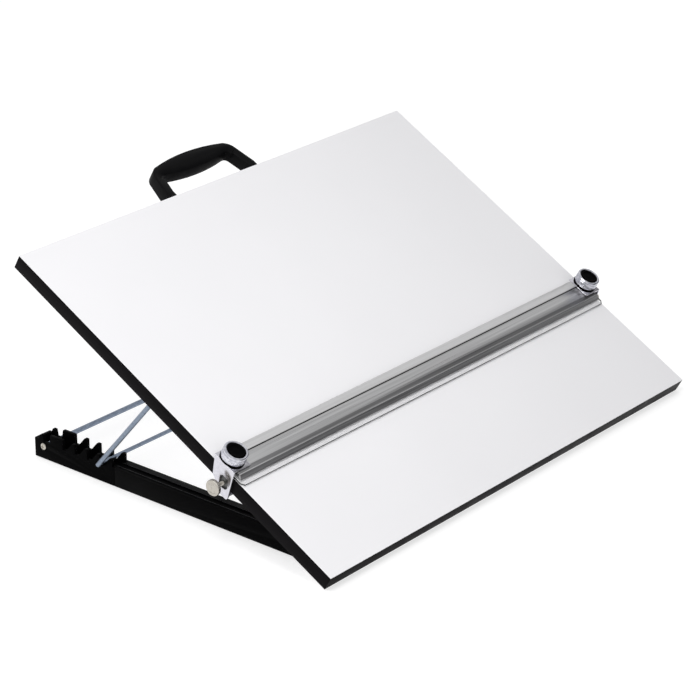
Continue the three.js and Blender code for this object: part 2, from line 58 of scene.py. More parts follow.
def flatBox(*nodes):  # lowest and highest corner in the board's own axes
    back = boardTurn.inverted()
    points = [back @ vertex.co for node in nodes for vertex in frame["nodes"][node].data.vertices]
    low = Vector([min(point[i] for point in points) for i in range(3)])
    high = Vector([max(point[i] for point in points) for i in range(3)])
    return low, high


def middleOf(node):  # centre of a node's box in the board's own axes
    low, high = flatBox(node)
    return (low + high) / 2


# Working habits: what is selected, edited and applied

def clearSelection():
    active = bpy.context.view_layer.objects.active
    if active and active.mode != "OBJECT":
        bpy.ops.object.mode_set(mode="OBJECT")
    bpy.ops.object.select_all(action="DESELECT")


def takeUp(piece):
    clearSelection()
    piece.select_set(True)
    bpy.context.view_layer.objects.active = piece


def editAll(piece):
    takeUp(piece)
    bpy.ops.object.mode_set(mode="EDIT")
    bpy.ops.mesh.select_all(action="SELECT")


def pick(piece, test):  # selects vertices by place, in object mode, then returns to editing
    bpy.ops.mesh.select_mode(type="VERT")
    bpy.ops.mesh.select_all(action="DESELECT")
    bpy.ops.object.mode_set(mode="OBJECT")
    for vertex in piece.data.vertices:
        vertex.select = test(vertex.co)
    bpy.ops.object.mode_set(mode="EDIT")


def squeeze(piece, test, amount):  # draws the vertices that pass the test toward the turning axis
    editAll(piece)
    pick(piece, test)
    bpy.ops.transform.resize(value=(amount, amount, 1), center_override=(0, 0, 0))
    bpy.ops.object.mode_set(mode="OBJECT")


def tidyFaces():
    bpy.ops.mesh.select_all(action="SELECT")
    bpy.ops.mesh.remove_doubles(threshold=weld)
    bpy.ops.mesh.normals_make_consistent(inside=False)
    bpy.ops.object.mode_set(mode="OBJECT")


def roundEdges(piece, width, segments=2, angle=30):
    edges = piece.modifiers.new("edges", "BEVEL")
    edges.width = width
    edges.segments = segments
    edges.limit_method = "ANGLE"
    edges.angle_limit = math.radians(angle)
    return piece


def settle(piece, turn=None, smooth=32):
    takeUp(piece)
    for modifier in list(piece.modifiers):
        bpy.ops.object.modifier_apply(modifier=modifier.name)
    if turn:
        piece.matrix_world = turn @ piece.matrix_world
    bpy.ops.object.transform_apply(location=True, rotation=True, scale=True)
    if smooth:
        bpy.ops.object.shade_smooth_by_angle(angle=math.radians(smooth))
    return piece


def own(piece, name, body, slot, look, *nodes):
    piece.name = name
    piece.data.name = name
    piece.data.materials.clear()
    piece.data.materials.append(look)
    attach(piece, body)
    if nodes:
        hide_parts(*nodes)
    return piece


# Ways of making a piece

def addBox(low, high):
    clearSelection()
    low, high = Vector(low), Vector(high)
    bpy.ops.mesh.primitive_cube_add(size=1, location=(low + high) / 2, scale=high - low)
    bpy.ops.object.transform_apply(location=True, rotation=True, scale=True)
    return bpy.context.object


def addRod(start, end, radius, around):
    clearSelection()
    start, end = Vector(start), Vector(end)
    along = end - start
    turn = along.to_track_quat("Z", "Y").to_euler()
    bpy.ops.mesh.primitive_cylinder_add(vertices=around, radius=radius, depth=along.length,
                                        location=(start + end) / 2, rotation=turn)
    bpy.ops.object.transform_apply(location=True, rotation=True, scale=True)
    return bpy.context.object


def drawChain(points):  # one vertex, extruded from point to point
    clearSelection()
    bpy.ops.mesh.primitive_plane_add(size=mm, location=(0, 0, 0))
    bpy.ops.object.mode_set(mode="EDIT")
    bpy.ops.mesh.select_mode(type="VERT")
    bpy.ops.mesh.select_all(action="SELECT")
    bpy.ops.mesh.merge(type="CENTER")
    bpy.ops.transform.translate(value=points[0])
    for before, after in zip(points, points[1:]):
        step = Vector(after) - Vector(before)
        bpy.ops.mesh.extrude_region_move(TRANSFORM_OT_translate={"value": step})
    bpy.ops.mesh.select_all(action="SELECT")
    return bpy.context.object


def inMm(profile):
    return [(radius * mm, height * mm) for radius, height in profile]


def spinProfile(profile, steps):  # (radius, height) pairs turned about Z
    piece = drawChain([(radius, 0, height) for radius, height in profile])
    bpy.ops.mesh.spin(steps=steps, angle=2 * math.pi, center=(0, 0, 0), axis=up)
    tidyFaces()
    return piece


def standOn(piece, foot, axis):  # stands a turned piece on a point, along an axis
    turn = Vector(axis).to_track_quat("Z", "Y").to_matrix().to_4x4()
    piece.matrix_world = Matrix.Translation(foot) @ turn
    return piece


def seat(piece, centre, node, smooth=32):  # upright on the board, at the node's lowest point
    foot = Vector((centre.x, centre.y, flatBox(node)[0].z))
    return settle(standOn(piece, foot, up), boardTurn, smooth)


def softCopy(node, width, segments=2, angle=30, smooth=32):  # the CAD node's shape with rounded edges
    clearSelection()
    source = frame["nodes"][node]
    piece = bpy.data.objects.new(node + "_soft", source.data.copy())
    bpy.context.collection.objects.link(piece)
    editAll(piece)
    bpy.ops.mesh.remove_doubles(threshold=weld)
    bpy.ops.mesh.dissolve_limited(angle_limit=flatAngle)
    bpy.ops.object.mode_set(mode="OBJECT")
    if width:
        roundEdges(piece, width, segments, angle)
    return settle(piece, smooth=smooth)


# Materials

def newLook(name, colour, roughness, metallic=0.0):
    look = bpy.data.materials.new(name)
    look.use_nodes = True
    look.diffuse_color = (*colour, 1)
    shader = look.node_tree.nodes["Principled BSDF"]
    shader.inputs["Base Color"].default_value = (*colour, 1)
    shader.inputs["Roughness"].default_value = roughness
    shader.inputs["Metallic"].default_value = metallic
    return look, look.node_tree.nodes, look.node_tree.links, shader


def objectNoise(nodes, links, scale, detail=4.0, stretch=(1, 1, 1)):
    place = nodes.new("ShaderNodeTexCoord")
    mapping = nodes.new("ShaderNodeMapping")
    mapping.inputs["Scale"].default_value = stretch
    noise = nodes.new("ShaderNodeTexNoise")
    noise.inputs["Scale"].default_value = scale
    noise.inputs["Detail"].default_value = detail
    links.new(place.outputs["Object"], mapping.inputs["Vector"])
    links.new(mapping.outputs["Vector"], noise.inputs["Vector"])
    return noise.outputs["Fac"]


def varyColour(nodes, links, shader, fac, dark, light):
    ramp = nodes.new("ShaderNodeValToRGB")
    for element, place, colour in zip(ramp.color_ramp.elements, (0.35, 0.65), (dark, light)):
        element.position = place
        element.color = (*colour, 1)
    links.new(fac, ramp.inputs["Fac"])
    links.new(ramp.outputs["Color"], shader.inputs["Base Color"])


def varyRoughness(nodes, links, shader, fac, low, high):
    span = nodes.new("ShaderNodeMapRange")
    span.inputs["From Min"].default_value = 0.3
    span.inputs["From Max"].default_value = 0.7
    span.inputs["To Min"].default_value = low
    span.inputs["To Max"].default_value = high
    links.new(fac, span.inputs["Value"])
    links.new(span.outputs["Result"], shader.inputs["Roughness"])


def addBump(nodes, links, shader, fac, strength, distance):
    bump = nodes.new("ShaderNodeBump")
    bump.inputs["Strength"].default_value = strength
    bump.inputs["Distance"].default_value = distance
    links.new(fac, bump.inputs["Height"])
    links.new(bump.outputs["Normal"], shader.inputs["Normal"])


def variedLook(name, values):
    look, nodes, links, shader = newLook(name, values["light"], values["roughness"][0], values["metallic"])
    stretch = values.get("stretch", (1, 1, 1))
    broad = objectNoise(nodes, links, values["patch"], 3.0, stretch)
    fine = objectNoise(nodes, links, values["grain"], 2.0, stretch)
    varyColour(nodes, links, shader, broad, values["dark"], values["light"])
    varyRoughness(nodes, links, shader, broad, *values["roughness"])
    addBump(nodes, links, shader, fine, values["bump"], values["depth"])
    for socket, value in values.get("sockets", {}).items():
        shader.inputs[socket].default_value = value
    return look


looks = {
    "laminate": {"light": (0.87, 0.865, 0.885), "dark": (0.855, 0.85, 0.87), "roughness": (0.36, 0.44),
                 "metallic": 0, "patch": 5, "grain": 1400, "bump": 0.05, "depth": 0.05 * mm,
                 "sockets": {"Specular IOR Level": 0.4}},
    "edging": {"light": (0.0058, 0.005, 0.006), "dark": (0.0042, 0.0036, 0.0043), "roughness": (0.4, 0.55),
               "metallic": 0, "patch": 40, "grain": 1800, "bump": 0.12, "depth": 0.05 * mm,
               "sockets": {"Specular IOR Level": 0.035}},
    "core": {"light": (0.50, 0.34, 0.19), "dark": (0.30, 0.18, 0.09), "roughness": (0.8, 0.95),
             "metallic": 0, "patch": 260, "grain": 700, "bump": 0.4, "depth": 0.2 * mm},
    "moulded": {"light": (0.0012, 0.0012, 0.0014), "dark": (0.0006, 0.0006, 0.0008),
                "roughness": (0.4, 0.55), "metallic": 0, "patch": 30, "grain": 1600, "bump": 0.16,
                "depth": 0.06 * mm, "sockets": {"Specular IOR Level": 0.02}},
    # painted highlight for the outer edges of the rails' ribs
    "ribPaintedHighlight": {"light": (0.085, 0.085, 0.09), "dark": (0.06, 0.06, 0.065), "roughness": (0.4, 0.5),
            "metallic": 0, "patch": 50, "grain": 1600, "bump": 0.1, "depth": 0.05 * mm,
            "sockets": {"Specular IOR Level": 0.2}},
    "grip": {"light": (0.0036, 0.0036, 0.004), "dark": (0.0026, 0.0026, 0.003), "roughness": (0.4, 0.52),
             "metallic": 0, "patch": 45, "grain": 1100, "bump": 0.3, "depth": 0.08 * mm,
             "sockets": {"Specular IOR Level": 0.06}},
    "rubber": {"light": (0.018, 0.018, 0.018), "dark": (0.01, 0.01, 0.01), "roughness": (0.8, 0.95),
               "metallic": 0, "patch": 90, "grain": 900, "bump": 0.4, "depth": 0.1 * mm,
               "sockets": {"Specular IOR Level": 0.2}},
    "zinc": {"light": (0.24, 0.285, 0.355), "dark": (0.185, 0.225, 0.29), "roughness": (0.26, 0.36),
             "metallic": 0.9, "patch": 300, "grain": 900, "bump": 0.08, "depth": 0.05 * mm},
    "steel": {"light": (0.52, 0.52, 0.54), "dark": (0.36, 0.36, 0.38), "roughness": (0.26, 0.42),
              "metallic": 1, "patch": 150, "grain": 1200, "bump": 0.1, "depth": 0.04 * mm},
    "enamel": {"light": (0.010, 0.010, 0.012), "dark": (0.007, 0.007, 0.008), "roughness": (0.25, 0.4),
               "metallic": 0, "patch": 60, "grain": 500, "bump": 0.1, "depth": 0.08 * mm,
               "sockets": {"Specular IOR Level": 0.3}},
    "chrome": {"light": (0.70, 0.70, 0.75), "dark": (0.44, 0.45, 0.51), "roughness": (0.07, 0.17),
               "metallic": 1, "patch": 260, "grain": 420, "bump": 0.14, "depth": 0.1 * mm},
    "plateChrome": {"light": (0.66, 0.65, 0.70), "dark": (0.60, 0.595, 0.645), "roughness": (0.16, 0.24),
                    "metallic": 1, "patch": 420, "grain": 900, "bump": 0.05, "depth": 0.05 * mm},
    "dullSteel": {"light": (0.21, 0.21, 0.21), "dark": (0.14, 0.14, 0.14), "roughness": (0.38, 0.5),
                  "metallic": 1, "patch": 400, "grain": 1100, "bump": 0.1, "depth": 0.04 * mm},
    "nickel": {"light": (0.54, 0.51, 0.46), "dark": (0.45, 0.425, 0.385), "roughness": (0.24, 0.36),
               "metallic": 1, "patch": 220, "grain": 1500, "bump": 0.12, "depth": 0.04 * mm},
    "aluminium": {"light": (0.56, 0.56, 0.565), "dark": (0.42, 0.42, 0.425), "roughness": (0.26, 0.38),
                  "metallic": 1, "patch": 420, "grain": 900, "bump": 0.12, "depth": 0.04 * mm,
                  "stretch": (0.012, 1, 1)},
    # painted highlight for the bar's back bevel
    "aluminiumBevelPaintedHighlight": {"light": (0.68, 0.68, 0.685), "dark": (0.60, 0.60, 0.605), "roughness": (0.3, 0.42),
                        "metallic": 1, "patch": 420, "grain": 900, "bump": 0.1, "depth": 0.04 * mm,
                        "stretch": (0.012, 1, 1)},
    # painted shade for the bar's front face
    "aluminiumFrontPaintedShade": {"light": (0.19, 0.19, 0.195), "dark": (0.10, 0.10, 0.103), "roughness": (0.3, 0.42),
                        "metallic": 1, "patch": 700, "grain": 900, "bump": 0.1, "depth": 0.04 * mm,
                        "stretch": (0.012, 1, 1)},
    # painted shade for the slopes of the bar's dip
    "aluminiumSlopePaintedShade": {"light": (0.30, 0.30, 0.305), "dark": (0.2, 0.2, 0.203), "roughness": (0.3, 0.42),
                        "metallic": 1, "patch": 420, "grain": 900, "bump": 0.1, "depth": 0.04 * mm,
                        "stretch": (0.012, 1, 1)},
    # painted shade inside the bar's slot
    "slotPaintedShade": {"light": (0.03, 0.03, 0.031), "dark": (0.02, 0.02, 0.021), "roughness": (0.5, 0.6),
                    "metallic": 0.5, "patch": 420, "grain": 900, "bump": 0.1, "depth": 0.04 * mm},
    "nylon": {"light": (0.82, 0.80, 0.75), "dark": (0.74, 0.72, 0.67), "roughness": (0.42, 0.55),
              "metallic": 0, "patch": 60, "grain": 800, "bump": 0.1, "depth": 0.05 * mm},
}
finish = {name: variedLook(name, values) for name, values in looks.items()}


clearLooks = {
    "clear": {"name": "clearAcrylic", "colour": (0.95, 0.96, 0.96), "cover": 0.07},
    # painted shade for the clear sheet's cut edges
    "cutEdgePaintedShade": {"name": "acrylicCutEdgePaintedShade", "colour": (0.02, 0.022, 0.022), "cover": 1.0},
}


def clearLook(values):
    look, nodes, links, shader = newLook(values["name"], values["colour"], 0.06)
    shader.inputs["Alpha"].default_value = values["cover"]
    haze = objectNoise(nodes, links, 30, 3.0, (0.2, 1, 1))
    varyRoughness(nodes, links, shader, haze, 0.03, 0.12)
    scratches = objectNoise(nodes, links, 500, 2.0, (0.02, 1, 1))
    addBump(nodes, links, shader, scratches, 0.04, 0.03 * mm)
    return look


for name, values in clearLooks.items():
    finish[name] = clearLook(values)
print("finishes made:", len(finish))


# Camera

cameraView = {"place": (-2.22302, -1.83916, 1.33693), "turn": (66.6913, -0.1856, -50.4304), "lens": 138.955,
              "sensor": 36}


def setCamera(values):
    clearSelection()
    turn = [math.radians(angle) for angle in values["turn"]]
    bpy.ops.object.camera_add(location=values["place"], rotation=turn)
    camera = bpy.context.object
    camera.data.lens = values["lens"]
    camera.data.sensor_width = values["sensor"]
    camera.data.clip_end = 20
    bpy.context.scene.camera = camera


setCamera(cameraView)


# The board: drawing face, underside, core and four edge bands

boardValues = {"faceEdge": 0.3 * mm, "bandEdge": 0.35 * mm, "joint": 0.02 * mm}


def makeBoard(values):
    faceLow, faceHigh = flatBox("top_laminate")
    face = roundEdges(addBox(faceLow, faceHigh), values["faceEdge"], 3)
    own(settle(face, boardTurn), "drawingFace", "board", "white_laminate", finish["laminate"],
        "top_laminate")
    bandTop = faceLow.z - values["joint"]
    for end in ("front", "back"):
        low, high = flatBox("edge_band_" + end)
        band = roundEdges(addBox(low, (high.x, high.y, bandTop)), values["bandEdge"], 2)
        own(settle(band, boardTurn), "edgeBand_" + end, "board", "black_edging", finish["edging"],
            "edge_band_" + end)
    front = flatBox("edge_band_front")[1].y + values["joint"]
    back = flatBox("edge_band_back")[0].y - values["joint"]
    for side in sides:
        low, high = flatBox("edge_band_" + side)
        band = roundEdges(addBox((low.x, front, low.z), (high.x, back, bandTop)), values["bandEdge"], 2)
        own(settle(band, boardTurn), "edgeBand_" + side, "board", "black_edging", finish["edging"],
            "edge_band_" + side)
    own(softCopy("bottom_laminate", 0), "undersideFace", "board", "white_laminate", finish["laminate"],
        "bottom_laminate")
    frame["nodes"]["board_core"].data.materials.clear()
    frame["nodes"]["board_core"].data.materials.append(finish["core"])


makeBoard(boardValues)
print("board made")


# Pieces whose CAD shape only needs its edges rounded

rounded = {
    "rail": (0.5, 2, "stand", "black_plastic", "moulded"),
    "rack": (0.5, 2, "stand", "black_plastic", "moulded"),
    "foot_pad_front": (0.8, 3, "stand", "rubber", "rubber"),
    "foot_pad_back": (0.8, 3, "stand", "rubber", "rubber"),
    "hinge_bracket": (0.4, 2, "board", "black_steel", "enamel"),
    "prop_clip": (0.7, 3, "board", "black_plastic", "moulded"),
    "end_bracket": (0.35, 3, "bar", "chrome", "plateChrome"),
    "nut_plate": (0.25, 2, "bar", "steel", "dullSteel"),
    "cable_clamp": (0.5, 2, "bar", "steel", "steel"),
    "parallel_bar": (0.22, 2, "bar", "aluminium", "aluminium"),
    "clear_edge": (0.5, 2, "bar", "clear_acrylic", "clear"),
    "guide_cable": (0, 1, "board", "steel", "steel"),
    "cable_spring": (0, 1, "board", "steel", "steel"),
}


def roundPieces(table):
    for name, (width, segments, body, slot, look) in table.items():
        nodes = [node for node in (name, name + "_left", name + "_right") if node in frame["nodes"]]
        for node in nodes:
            smooth = 32 if width else 80
            piece = softCopy(node, width * mm, segments, smooth=smooth)
            own(piece, "soft_" + node, body, slot, finish[look], node)


roundPieces(rounded)


handleValues = {"chamfer": 8.5 * mm, "round": 2.2 * mm, "gripHalf": 62 * mm, "gripFrom": 24 * mm,
                "gripTo": 42 * mm, "level": 0.1 * mm, "smooth": 35}


def makeHandle(values):  # the grip slopes away from its top face to the finger side
    piece = softCopy("carry_handle", 0, smooth=0)
    top = flatBox("carry_handle")[1].z
    edgeLine = flatBox("edge_band_back")[1].y
    piece.matrix_world = boardTurn.inverted()
    takeUp(piece)
    bpy.ops.object.transform_apply(location=True, rotation=True, scale=True)
    editAll(piece)
    bpy.ops.mesh.select_mode(type="EDGE")
    bpy.ops.mesh.select_all(action="DESELECT")
    bpy.ops.object.mode_set(mode="OBJECT")

    def onGripRim(place):
        reach = place.y - edgeLine
        return place.z > top - values["level"] and abs(place.x) < values["gripHalf"] and \
            values["gripFrom"] < reach < values["gripTo"]

    places = [vertex.co for vertex in piece.data.vertices]
    for edge in piece.data.edges:
        edge.select = all(onGripRim(places[index]) for index in edge.vertices)
    bpy.ops.object.mode_set(mode="EDIT")
    bpy.ops.mesh.bevel(offset=values["chamfer"], segments=2, profile=0.5)
    tidyFaces()
    roundEdges(piece, values["round"], 4, 32)
    own(settle(piece, boardTurn, values["smooth"]), "carryHandle", "board", "black_plastic", finish["grip"],
        "carry_handle")


makeHandle(handleValues)


def paintCutEdgeShade(piece):  # painted shade on the clear sheet's cut edges, standing in for the dark line their refraction shows
    piece.data.materials.append(finish["cutEdgePaintedShade"])
    boardUp = boardTurn.to_3x3() @ up
    for face in piece.data.polygons:
        face.material_index = 1 if abs(face.normal.dot(boardUp)) < 0.95 else 0


barValues = {"frontTo": 4.6 * mm, "bead": (4.2 * mm, 5.3 * mm), "dip": (5.2 * mm, 10 * mm), "dipFloor": 6 * mm,
             "slot": (25.2 * mm, 26.7 * mm), "backFrom": 30 * mm, "above": 4 * mm}


def paintBarShadeAndHighlight(piece, values):  # painted shade on the bar's front face, the slopes of its dip and its slot, and a painted highlight on its back bevel, chosen by how far back each face lies
    for name in ("aluminiumSlopePaintedShade", "aluminiumFrontPaintedShade", "slotPaintedShade", "aluminiumBevelPaintedHighlight"):
        piece.data.materials.append(finish[name])
    low = flatBox("parallel_bar")[0]
    back = boardTurn.inverted()

    def within(distance, span):
        return span[0] < distance < span[1]

    for face in piece.data.polygons:
        place = back @ face.center - low
        tilt = back.to_3x3() @ face.normal
        inside = place.z > values["above"] and abs(tilt.x) < 0.5  # up on the bar, and not an end face
        if within(place.y, values["bead"]) and tilt.z > 0.7:
            face.material_index = 0
        # painted shade on the front face
        elif place.y < values["frontTo"] and tilt.y < -0.3:
            face.material_index = 2
        # painted shade on the dip's sloping faces
        elif within(place.y, values["dip"]) and inside:
            sloping = tilt.y < -0.1 or tilt.y > 0.5 or place.z < values["dipFloor"]
            face.material_index = 1 if sloping else 0
        # painted shade inside the slot
        elif within(place.y, values["slot"]) and inside:
            face.material_index = 3
        # painted highlight on the back bevel
        elif place.y > values["backFrom"] and tilt.y > 0.1 and tilt.z > 0.3:
            face.material_index = 4


ribValues = {"depth": 0.6 * mm, "leastTilt": 0.2, "mostTilt": 0.98}


def paintRibHighlights(piece, sign, values):  # painted highlight on the outer edges of the two ribs on each rail
    piece.data.materials.append(finish["ribPaintedHighlight"])
    top = max(vertex.co.z for vertex in piece.data.vertices)
    for face in piece.data.polygons:
        outward = face.normal.x * sign
        # the faces that get the painted highlight
        highlit = face.center.z > top - values["depth"] and values["leastTilt"] < outward < values["mostTilt"]
        face.material_index = 1 if highlit else 0


# painted shade on the clear sheet's cut edges, painted shade and highlight on the bar, painted highlights on
# the rails' ribs
paintCutEdgeShade(bpy.data.objects["soft_clear_edge"])
paintBarShadeAndHighlight(bpy.data.objects["soft_parallel_bar"], barValues)
for side, sign in sides.items():
    paintRibHighlights(bpy.data.objects["soft_rail_" + side], sign, ribValues)
print("rounded pieces made")


# Turned pieces: knobs, screws, pins and pulleys

knobValues = {
    "around": 120, "flutes": 40, "fluteDepth": 0.978, "teeth": 20, "toothDepth": 0.945, "smooth": 24,
    "body": [(3.4, 0), (12.7, 0), (13.3, 0.25), (13.9, 1.0), (14.1, 1.6), (14.2, 4.2), (14.1, 7.2), (13.9, 7.7),
             (13.5, 8.0), (13.35, 8.25), (13.35, 8.7), (13.6, 9.0), (14.1, 9.25), (14.2, 9.8), (14.0, 10.7),
             (13.5, 11.2), (12.9, 11.4), (11.7, 11.4), (11.2, 11.2), (11, 10.8), (11, 5.6), (3.4, 5.6),
             (3.4, 0)],
    "insert": [(0, 0), (10.7, 0), (10.7, 4.4), (10.5, 5.0), (9.9, 5.5), (8.8, 5.7), (8.0, 5.4), (7.5, 4.9),
               (6.9, 4.7), (3, 5.0), (0, 5.1)],
    "washer": [(3.5, 0), (14.1, 0), (14.4, 0.3), (14.4, 1.0), (14.1, 1.3), (3.5, 1.3), (3.5, 0)],
    "stud": [(0, 0), (4.2, 0), (4.5, 0.3), (4.5, 1.6), (3, 1.6), (3, 16.2), (2.6, 16.6), (0, 16.6)],
}


def nearRib(place, count, width):  # true close to one of the evenly spaced ribs round the axis
    turn = math.atan2(place.y, place.x) * count / (2 * math.pi)
    return abs(turn - round(turn)) < width


def onFlute(place):  # every third column of the grip band
    outer = math.hypot(place.x, place.y) > 13 * mm
    return 1.5 * mm < place.z < 7.4 * mm and outer and nearRib(place, knobValues["flutes"], 0.2)


def inScallop(place):  # the notches round the insert's rim
    return math.hypot(place.x, place.y) > 9.5 * mm and nearRib(place, knobValues["teeth"], 0.3)


def makeKnob(side, values):
    centre = middleOf("knob_body_" + side)
    mover = "brake_knob_" + side
    body = spinProfile(inMm(values["body"]), values["around"])
    squeeze(body, onFlute, values["fluteDepth"])
    own(seat(body, centre, "knob_body_" + side, values["smooth"]), "knobBody_" + side, mover, "chrome",
        finish["chrome"], "knob_body_" + side)
    insert = spinProfile(inMm(values["insert"]), values["around"])
    squeeze(insert, inScallop, values["toothDepth"])
    own(seat(insert, centre, "knob_insert_" + side, values["smooth"]), "knobInsert_" + side, mover,
        "black_plastic", finish["moulded"], "knob_insert_" + side)
    washer = seat(spinProfile(inMm(values["washer"]), 72), centre, "knob_washer_" + side)
    own(washer, "knobWasher_" + side, "bar", "black_plastic", finish["moulded"], "knob_washer_" + side)
    stud = seat(spinProfile(inMm(values["stud"]), 40), centre, "knob_stud_" + side)
    own(stud, "knobStud_" + side, mover, "steel", finish["steel"], "knob_stud_" + side)


thumbValues = {
    "around": 96, "ribs": 32, "ribDepth": 0.965, "smooth": 24,
    "root": 2.05, "crest": 2.4, "pitch": 0.8, "start": 7.6, "end": 18.2, "length": 18.5,
    "head": [(0, 0.5), (5.6, 0.5), (6.1, 0.15), (6.6, 0), (8.2, 0), (8.8, 0.35), (9.2, 0.9), (9.2, 4.1),
             (8.8, 4.65), (8.2, 5), (5.2, 5), (5.0, 5.3), (4.8, 7.0), (4.4, 7.4)],
}


def onThumbRib(place):
    return math.hypot(place.x, place.y) > 9.1 * mm and nearRib(place, thumbValues["ribs"], 0.2)


def makeThumbScrew(side, values):  # ribbed head, collar and thread, pointing into the board
    sign = sides[side]
    low, high = flatBox("thumb_screw_" + side)
    foot = (low + high) / 2
    foot.x = low.x if sign < 0 else high.x
    root, crest, pitch = values["root"], values["crest"], values["pitch"]
    height = values["start"]
    profile = values["head"] + [(root, height)]
    while height + pitch < values["end"]:
        profile += [(crest, height + 0.3), (crest, height + 0.45), (root, height + pitch)]
        height += pitch
    profile += [(root, values["length"]), (0, values["length"])]
    screw = spinProfile(inMm(profile), values["around"])
    squeeze(screw, onThumbRib, values["ribDepth"])
    screw = settle(standOn(screw, foot, (-sign, 0, 0)), boardTurn, values["smooth"])
    own(screw, "thumbScrew_" + side, "side_screw_" + side, "nickel", finish["nickel"],
        "thumb_screw_" + side)


slotShare = 0.22  # a cross slot's width as a share of its length


def crossRecess(head, foot, axis, size, depth):  # cuts a cross slot into a screw head
    for wide, tall in ((size, size * slotShare), (size * slotShare, size)):
        cutter = addBox((-wide / 2, -tall / 2, -depth), (wide / 2, tall / 2, depth))
        standOn(cutter, foot, axis)
        slot = head.modifiers.new("slot", "BOOLEAN")
        slot.operation = "DIFFERENCE"
        slot.solver = "EXACT"
        slot.object = cutter
        takeUp(head)
        bpy.ops.object.modifier_apply(modifier=slot.name)
        bpy.data.objects.remove(cutter)
    return head


screwValues = {"pulley": {"head": 4.6 * mm, "height": 2 * mm, "shank": 2.2 * mm},
               "handle": {"head": 4.5 * mm, "height": 2.2 * mm, "shank": 2 * mm}, "point": 3 * mm}


def makeScrew(node, values, name):  # domed head below, pointed shank up into the board
    low, high = flatBox(node)
    foot = (low + high) / 2
    foot.z = low.z
    length = high.z - low.z
    head, height, shank = values["head"], values["height"], values["shank"]
    screw = spinProfile([
        (0, 0), (head * 0.55, 0), (head * 0.8, height * 0.12), (head * 0.95, height * 0.4),
        (head, height * 0.75), (head, height), (shank, height), (shank, length - screwValues["point"]),
        (0, length)], 40)
    standOn(screw, foot, up)
    crossRecess(screw, foot, up, head * 1.1, height * 0.6)
    own(settle(screw, boardTurn), name, "board", "steel", finish["steel"], node)


pulleyProfile = [(2.55, 0.2), (2.75, 0), (3.9, 0), (4.1, 0.5), (7.6, 0.5), (7.9, 0), (9.3, 0), (9.5, 0.2),
                 (9.5, 0.9), (8.9, 1.4), (8.25, 2.0), (8.2, 2.5), (8.25, 3.0), (8.9, 3.6), (9.5, 4.1),
                 (9.5, 4.8), (9.3, 5), (2.75, 5), (2.55, 4.8), (2.55, 0.2)]


def makePulley(end, side):
    node = f"pulley_{end}_{side}"
    pulley = seat(spinProfile(inMm(pulleyProfile), 64), middleOf(node), node)
    own(pulley, f"pulleyWheel_{end}_{side}", "guide_" + node, "white_nylon", finish["nylon"], node)
    makeScrew(f"pulley_screw_{end}_{side}", screwValues["pulley"], f"pulleyScrew_{end}_{side}")


pinValues = {"head": 4.2, "face": 3.6, "rim": 0.4, "thickness": 1.5, "shank": 2.5}


def makePin(node, body, name, values):  # the pin and its two flat heads lie along X
    low, high = flatBox(node)
    middle = (low + high) / 2
    length = (high.x - low.x) / mm
    half = [(0, 0), (values["face"], 0), (values["head"], values["rim"]),
            (values["head"], values["thickness"]), (values["shank"], values["thickness"])]
    profile = half + [(radius, length - height) for radius, height in reversed(half)]
    pin = spinProfile(inMm(profile), 40)
    standOn(pin, (low.x, middle.y, middle.z), (1, 0, 0))
    own(settle(pin, boardTurn), name, body, "steel", finish["steel"], node)


for side in sides:
    makeKnob(side, knobValues)
    makeThumbScrew(side, thumbValues)
    makePin("hinge_pin_" + side, "board", "hingePin_" + side, pinValues)
    makeScrew("handle_screw_" + side, screwValues["handle"], "handleScrew_" + side)
    for end in ("front", "back"):
        makePulley(end, side)
print("turned pieces made")


# Rods: the spreader, the prop's crossbar and its bent arms

rodValues = {"spreader": 3 * mm, "crossbar": 2.35 * mm, "around": 48, "edge": 0.4 * mm}


def makeStraightRod(node, body, name, radius, turn=None):
    low, high = flatBox(node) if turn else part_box(node)
    middle = (low + high) / 2
    rod = addRod((low.x, middle.y, middle.z), (high.x, middle.y, middle.z), radius, rodValues["around"])
    roundEdges(rod, rodValues["edge"], 3)
    own(settle(rod, turn), name, body, "zinc", finish["zinc"], node)


propValues = {"radius": 2.9 * mm, "bend": 6 * mm, "bendSteps": 10, "around": 32, "pastBar": 2.2 * mm,
              "edge": 0.9 * mm}


def makePropArm(side, values):  # a straight leg, a bend and a tail that turns in the clip
    sign = sides[side]
    node = "prop_arm_" + side
    low, high = flatBox(node)
    radius = values["radius"]
    armX = low.x + radius if sign < 0 else high.x - radius
    tailX = high.x if sign < 0 else low.x
    pivot = Vector(joints["prop_swing"]["pos_m"])
    flatPivot = boardTurn.inverted() @ pivot
    barLow, barHigh = flatBox("prop_crossbar")
    bar = (barLow + barHigh) / 2
    lean = Vector((0, flatPivot.y - bar.y, flatPivot.z - bar.z)).normalized()
    foot = Vector((armX, bar.y, bar.z)) - lean * values["pastBar"]
    top = Vector((armX, flatPivot.y, flatPivot.z))
    bend = values["bend"]
    clearSelection()
    turn = lean.to_track_quat("Z", "Y").to_euler()
    bpy.ops.mesh.primitive_circle_add(vertices=values["around"], radius=radius, fill_type="NGON",
                                      location=foot, rotation=turn)
    arm = bpy.context.object
    bpy.ops.object.transform_apply(location=True, rotation=True, scale=True)
    editAll(arm)
    straight = top - lean * bend - foot
    bpy.ops.mesh.extrude_region_move(TRANSFORM_OT_translate={"value": straight})
    inward = Vector((-sign, 0, 0))
    spinCentre = top - lean * bend + inward * bend
    spinAxis = lean.cross(inward)
    bpy.ops.mesh.spin(steps=values["bendSteps"], angle=math.pi / 2, center=spinCentre, axis=spinAxis)
    tail = Vector((tailX - (top + inward * bend).x, 0, 0))
    bpy.ops.mesh.extrude_region_move(TRANSFORM_OT_translate={"value": tail})
    tidyFaces()
    roundEdges(arm, values["edge"], 4, 60)
    own(settle(arm, boardTurn), "propArm_" + side, "prop", "zinc", finish["zinc"], node)


railScrewValues = {"radius": 4 * mm, "height": 1.5 * mm, "shank": 1.6 * mm, "slot": 4.4 * mm, "sunk": 1.0 * mm}


